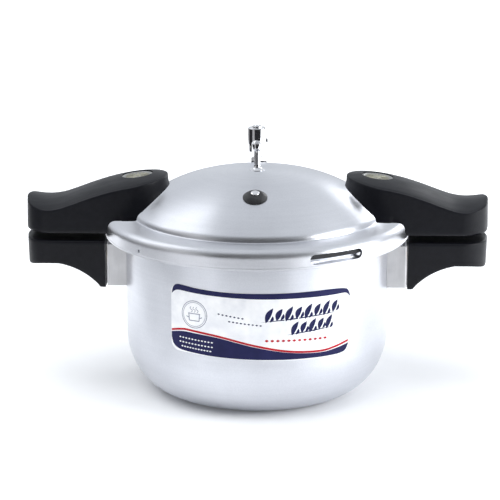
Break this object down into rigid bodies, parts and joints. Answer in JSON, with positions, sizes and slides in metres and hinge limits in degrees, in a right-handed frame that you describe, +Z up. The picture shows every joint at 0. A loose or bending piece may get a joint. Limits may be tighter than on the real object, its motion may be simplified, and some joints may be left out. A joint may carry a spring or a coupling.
{
  "type": "pressure cooker",
  "caption": "Household pressure cooker with a bayonet lid, paired side handles on pot and lid, a steam vent with a lift-off weight and a rubber safety plug.",
  "frame": {"origin": "centre of the pot's foot, on the surface it stands on", "axes": "+Z up; +X along the handles; the labelled front faces -Y"},
  "size_m": [0.385, 0.2532, 0.2225],
  "materials": {
    "pot_aluminium": "satin brushed",
    "lid_aluminium": "satin, spun round the axis",
    "bracket_aluminium": "satin sheet",
    "rivet_aluminium": "satin",
    "black_phenolic": "fine grained moulded phenolic",
    "screw_steel": "zinc plated",
    "brass": "turned",
    "label_foil": "printed foil, navy and red bands",
    "gasket_rubber": "matt",
    "plug_rubber": "matt",
    "seal_rubber": "matt silicone",
    "badge_metal": "satin, pale gold",
    "chrome": "polished",
    "fusible_alloy": "dull grey"
  },
  "bodies": {
    "pot": {"pot_body": "pot_aluminium", "bracket_left": "bracket_aluminium", "bracket_right": "bracket_aluminium", "bracket_rivets": "rivet_aluminium", "pot_handle_left": "black_phenolic", "pot_handle_right": "black_phenolic", "pot_handle_screws": "screw_steel", "pot_handle_inserts": "brass", "front_label": "label_foil"},
    "gasket_ring": {"gasket": "gasket_rubber"},
    "lid": {"lid_shell": "lid_aluminium", "lid_handle_left": "black_phenolic", "lid_handle_right": "black_phenolic", "lid_handle_studs": "bracket_aluminium", "lid_handle_screws": "screw_steel", "badge_left": "badge_metal", "badge_right": "badge_metal", "vent_stem": "chrome", "vent_washer": "seal_rubber", "vent_nut": "screw_steel", "safety_plug": "plug_rubber", "fuse_body": "chrome", "fuse_washer": "seal_rubber", "fuse_nut": "screw_steel", "fuse_core": "fusible_alloy"},
    "indicator": {"indicator_pin": "chrome"},
    "needle": {"weight_needle": "screw_steel"},
    "weight": {"weight_body": "chrome", "weight_cap": "chrome", "weight_pin": "screw_steel"}
  },
  "joints": [
    {"name": "lid_lift", "type": "slide", "parent": "pot", "child": "gasket_ring", "axis": [0, 0, 1], "range_m": [0, 0.12]},
    {"name": "lid_twist", "type": "hinge", "parent": "gasket_ring", "child": "lid", "pos_m": [0, 0, 0.14], "axis": [0, 0, 1], "range_deg": [0, 30]},
    {"name": "indicator_rise", "type": "slide", "parent": "lid", "child": "indicator", "axis": [0, -0.3437, 0.9391], "range_m": [0, 0.003]},
    {"name": "weight_lift", "type": "slide", "parent": "lid", "child": "needle", "axis": [0, 0, 1], "range_m": [0, 0.03]},
    {"name": "weight_turn", "type": "hinge", "parent": "needle", "child": "weight", "pos_m": [0, 0, 0.21], "axis": [0, 0, 1], "continuous": true}
  ]
}
